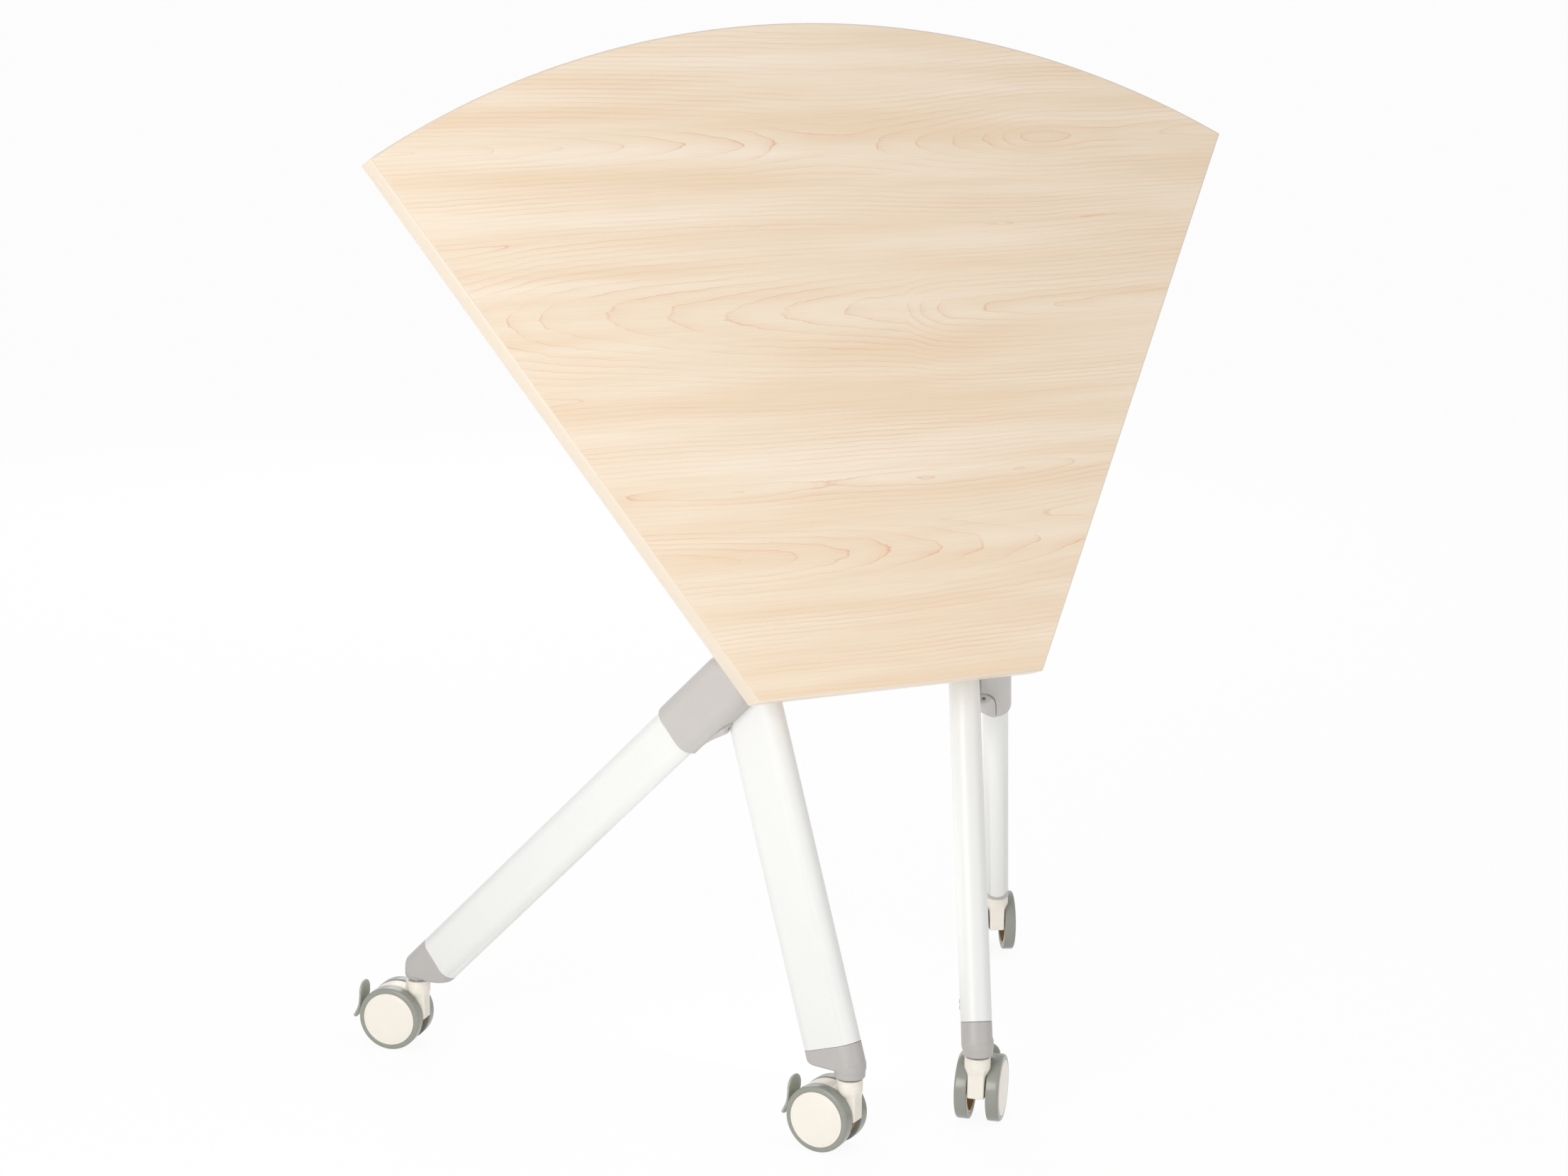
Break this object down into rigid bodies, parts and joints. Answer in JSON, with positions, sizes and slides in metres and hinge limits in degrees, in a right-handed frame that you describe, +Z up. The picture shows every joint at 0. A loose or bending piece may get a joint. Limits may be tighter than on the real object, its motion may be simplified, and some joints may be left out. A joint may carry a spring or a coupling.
{
  "type": "flip top training table",
  "caption": "Sector-shaped flip top training table: a maple-faced board that tips up on a crossbeam for nesting, with raked white tube legs on braked twin-wheel casters.",
  "frame": {"origin": "on the floor, under the middle of the table's bounding box, with the board flipped up", "axes": "+Z up, +X along the crossbeam, +Y from the board's laminate face towards the rear casters"},
  "size_m": [0.9, 0.5204, 1.0355],
  "materials": {
    "maple_laminate": "satin",
    "edge_band": "satin",
    "white_powder_coat": "satin",
    "grey_casting": "satin",
    "cream_nylon": "gloss",
    "grey_tyre": "gloss",
    "grey_nylon": "satin",
    "bright_steel": "brushed",
    "black_rubber": "matte"
  },
  "bodies": {
    "frame": {"main_leg_left": "white_powder_coat", "rear_leg_left": "white_powder_coat", "knuckle_left": "grey_casting", "knuckle_cover_left": "grey_casting", "front_foot_left": "grey_casting", "rear_foot_left": "grey_casting", "leg_head_left": "grey_casting", "main_leg_right": "white_powder_coat", "rear_leg_right": "white_powder_coat", "knuckle_right": "grey_casting", "knuckle_cover_right": "grey_casting", "front_foot_right": "grey_casting", "rear_foot_right": "grey_casting", "leg_head_right": "grey_casting", "crossbeam": "white_powder_coat", "catch_bracket": "grey_casting", "caster_stem_front_left": "bright_steel", "caster_stem_rear_left": "bright_steel", "caster_stem_front_right": "bright_steel", "caster_stem_rear_right": "bright_steel"},
    "top": {"table_board": "maple_laminate", "edge_band": "edge_band", "stop_bumper_left": "black_rubber", "flip_bracket_left": "grey_casting", "pivot_bush_left": "cream_nylon", "stop_bumper_right": "black_rubber", "flip_bracket_right": "grey_casting", "pivot_bush_right": "cream_nylon", "latch_bracket": "bright_steel", "lever_pin": "bright_steel", "latch_spring": "bright_steel"},
    "release_lever": {"release_lever": "grey_nylon"},
    "caster_front_left": {"caster_housing_front_left": "cream_nylon", "axle_front_left": "bright_steel"},
    "wheel_a_front_left": {"tyre_a_front_left": "grey_tyre", "hub_a_front_left": "cream_nylon"},
    "wheel_b_front_left": {"tyre_b_front_left": "grey_tyre", "hub_b_front_left": "cream_nylon"},
    "brake_front_left": {"brake_lever_front_left": "grey_nylon"},
    "caster_rear_left": {"caster_housing_rear_left": "cream_nylon", "axle_rear_left": "bright_steel"},
    "wheel_a_rear_left": {"tyre_a_rear_left": "grey_tyre", "hub_a_rear_left": "cream_nylon"},
    "wheel_b_rear_left": {"tyre_b_rear_left": "grey_tyre", "hub_b_rear_left": "cream_nylon"},
    "brake_rear_left": {"brake_lever_rear_left": "grey_nylon"},
    "caster_front_right": {"caster_housing_front_right": "cream_nylon", "axle_front_right": "bright_steel"},
    "wheel_a_front_right": {"tyre_a_front_right": "grey_tyre", "hub_a_front_right": "cream_nylon"},
    "wheel_b_front_right": {"tyre_b_front_right": "grey_tyre", "hub_b_front_right": "cream_nylon"},
    "brake_front_right": {"brake_lever_front_right": "grey_nylon"},
    "caster_rear_right": {"caster_housing_rear_right": "cream_nylon", "axle_rear_right": "bright_steel"},
    "wheel_a_rear_right": {"tyre_a_rear_right": "grey_tyre", "hub_a_rear_right": "cream_nylon"},
    "wheel_b_rear_right": {"tyre_b_rear_right": "grey_tyre", "hub_b_rear_right": "cream_nylon"},
    "brake_rear_right": {"brake_lever_rear_right": "grey_nylon"}
  },
  "joints": [
    {"name": "top_flip", "type": "hinge", "parent": "frame", "child": "top", "pos_m": [0, -0.03622, 0.67], "axis": [1, 0, 0], "range_deg": [-69.64, 0]},
    {"name": "latch_release", "type": "hinge", "parent": "top", "child": "release_lever", "pos_m": [0, -0.04315, 0.77924], "axis": [1, 0, 0], "range_deg": [0, 10], "stiffness_Nm_per_rad": 0.5, "springref_deg": -20.05},
    {"name": "swivel_front_left", "type": "hinge", "parent": "frame", "child": "caster_front_left", "pos_m": [-0.06884, -0.24059, 0.06], "axis": [0, 0, 1], "continuous": true},
    {"name": "roll_a_front_left", "type": "hinge", "parent": "caster_front_left", "child": "wheel_a_front_left", "pos_m": [-0.08243, -0.22081, 0.0325], "axis": [-0.8241, -0.5664, 0], "continuous": true},
    {"name": "roll_b_front_left", "type": "hinge", "parent": "caster_front_left", "child": "wheel_b_front_left", "pos_m": [-0.08243, -0.22081, 0.0325], "axis": [-0.8241, -0.5664, 0], "continuous": true},
    {"name": "brake_front_left", "type": "hinge", "parent": "caster_front_left", "child": "brake_front_left", "pos_m": [-0.09548, -0.20182, 0.0405], "axis": [-0.8241, -0.5664, 0], "range_deg": [0, 18]},
    {"name": "swivel_rear_left", "type": "hinge", "parent": "frame", "child": "caster_rear_left", "pos_m": [-0.33968, 0.1936, 0.06], "axis": [0, 0, 1], "continuous": true},
    {"name": "roll_a_rear_left", "type": "hinge", "parent": "caster_rear_left", "child": "wheel_a_rear_left", "pos_m": [-0.35737, 0.20981, 0.0325], "axis": [-0.6756, -0.7373, 0], "continuous": true},
    {"name": "roll_b_rear_left", "type": "hinge", "parent": "caster_rear_left", "child": "wheel_b_rear_left", "pos_m": [-0.35737, 0.20981, 0.0325], "axis": [-0.6756, -0.7373, 0], "continuous": true},
    {"name": "brake_rear_left", "type": "hinge", "parent": "caster_rear_left", "child": "brake_rear_left", "pos_m": [-0.37436, 0.22538, 0.0405], "axis": [-0.6756, -0.7373, 0], "range_deg": [0, 18]},
    {"name": "swivel_front_right", "type": "hinge", "parent": "frame", "child": "caster_front_right", "pos_m": [0.06884, -0.24059, 0.06], "axis": [0, 0, 1], "continuous": true},
    {"name": "roll_a_front_right", "type": "hinge", "parent": "caster_front_right", "child": "wheel_a_front_right", "pos_m": [0.08426, -0.2222, 0.0325], "axis": [-0.766, 0.6428, 0], "continuous": true},
    {"name": "roll_b_front_right", "type": "hinge", "parent": "caster_front_right", "child": "wheel_b_front_right", "pos_m": [0.08426, -0.2222, 0.0325], "axis": [-0.766, 0.6428, 0], "continuous": true},
    {"name": "brake_front_right", "type": "hinge", "parent": "caster_front_right", "child": "brake_front_right", "pos_m": [0.09907, -0.20455, 0.0405], "axis": [-0.766, 0.6428, 0], "range_deg": [0, 18]},
    {"name": "swivel_rear_right", "type": "hinge", "parent": "frame", "child": "caster_rear_right", "pos_m": [0.33968, 0.1936, 0.06], "axis": [0, 0, 1], "continuous": true},
    {"name": "roll_a_rear_right", "type": "hinge", "parent": "caster_rear_right", "child": "wheel_a_rear_right", "pos_m": [0.34886, 0.21577, 0.0325], "axis": [-0.9239, 0.3827, 0], "continuous": true},
    {"name": "roll_b_rear_right", "type": "hinge", "parent": "caster_rear_right", "child": "wheel_b_rear_right", "pos_m": [0.34886, 0.21577, 0.0325], "axis": [-0.9239, 0.3827, 0], "continuous": true},
    {"name": "brake_rear_right", "type": "hinge", "parent": "caster_rear_right", "child": "brake_rear_right", "pos_m": [0.35768, 0.23705, 0.0405], "axis": [-0.9239, 0.3827, 0], "range_deg": [0, 18]}
  ]
}
